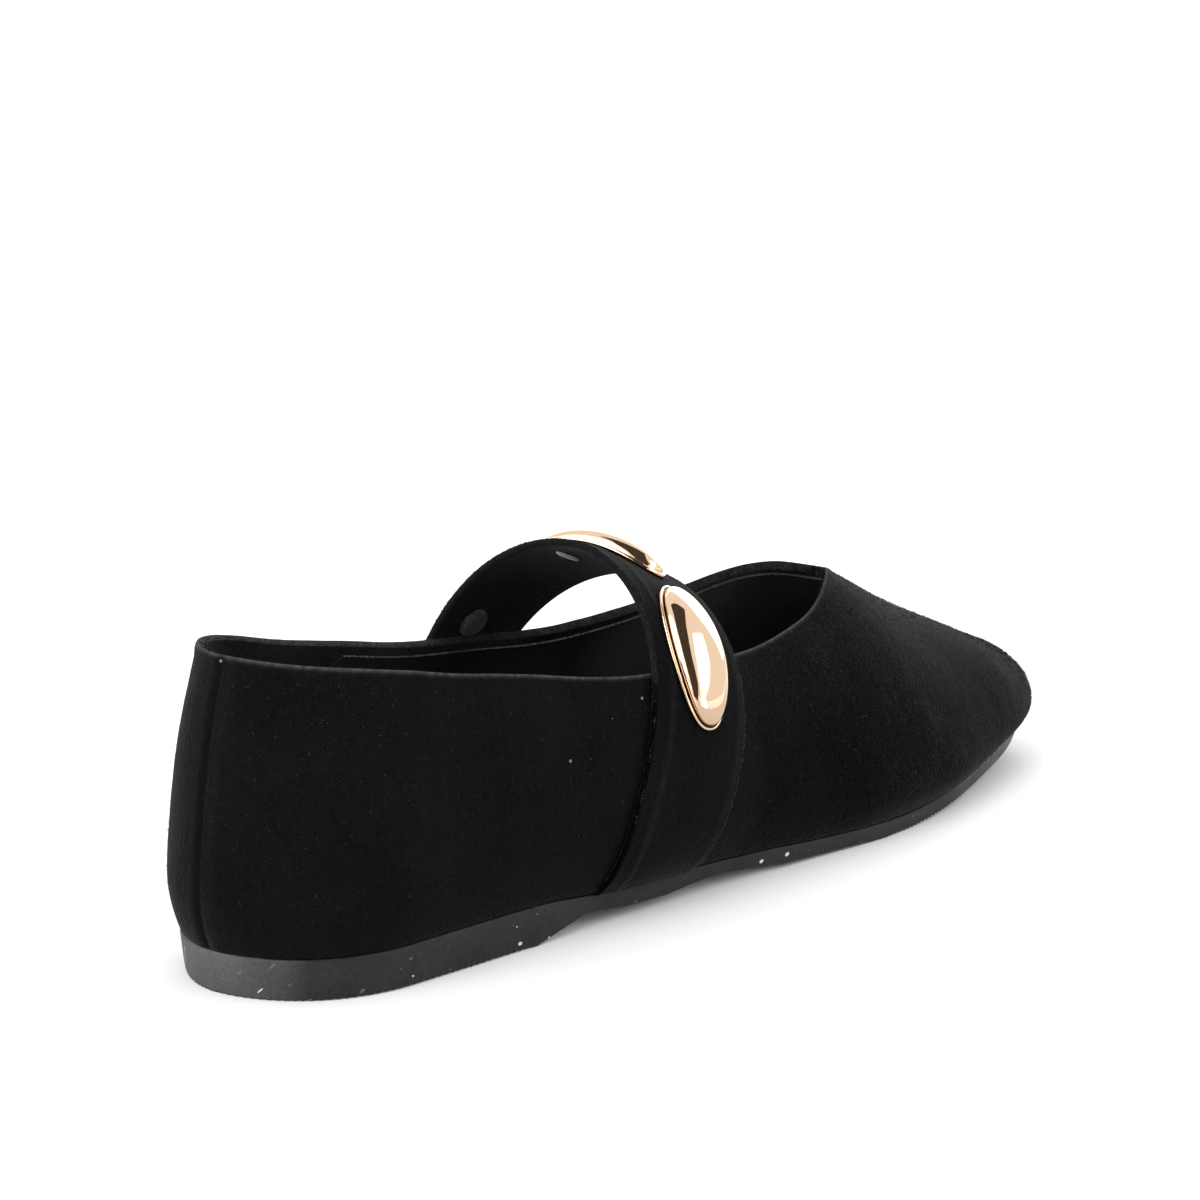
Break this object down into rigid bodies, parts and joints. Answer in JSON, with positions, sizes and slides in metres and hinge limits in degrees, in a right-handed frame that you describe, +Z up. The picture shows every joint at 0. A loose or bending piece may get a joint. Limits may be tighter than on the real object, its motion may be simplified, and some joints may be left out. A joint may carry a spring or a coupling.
{
  "type": "ballet flat",
  "caption": "Right women's ballet flat in black velvet, with a low moulded sole, a band over the instep and polished leaf-shaped metal studs on the band.",
  "frame": {"origin": "bottom centre of the box around the shoe, on the plane it stands on", "axes": "+X towards the toe, +Y towards the inner side of the foot, +Z up"},
  "size_m": [0.2538, 0.077, 0.0713],
  "materials": {
    "sole_rubber": "matt",
    "insole_lining": "matt cloth",
    "upper_velvet": "velvet pile",
    "strap_velvet": "velvet pile",
    "stud_gold": "polished pale rose gold plate",
    "prong_steel": "polished",
    "rivet_cloth": "matt cloth"
  },
  "bodies": {
    "root": {"outsole": "sole_rubber", "insole": "insole_lining", "upper": "upper_velvet", "strap": "strap_velvet", "stud_side": "stud_gold", "stud_top": "stud_gold", "stud_prong": "prong_steel", "strap_rivet": "rivet_cloth"}
  },
  "joints": []
}
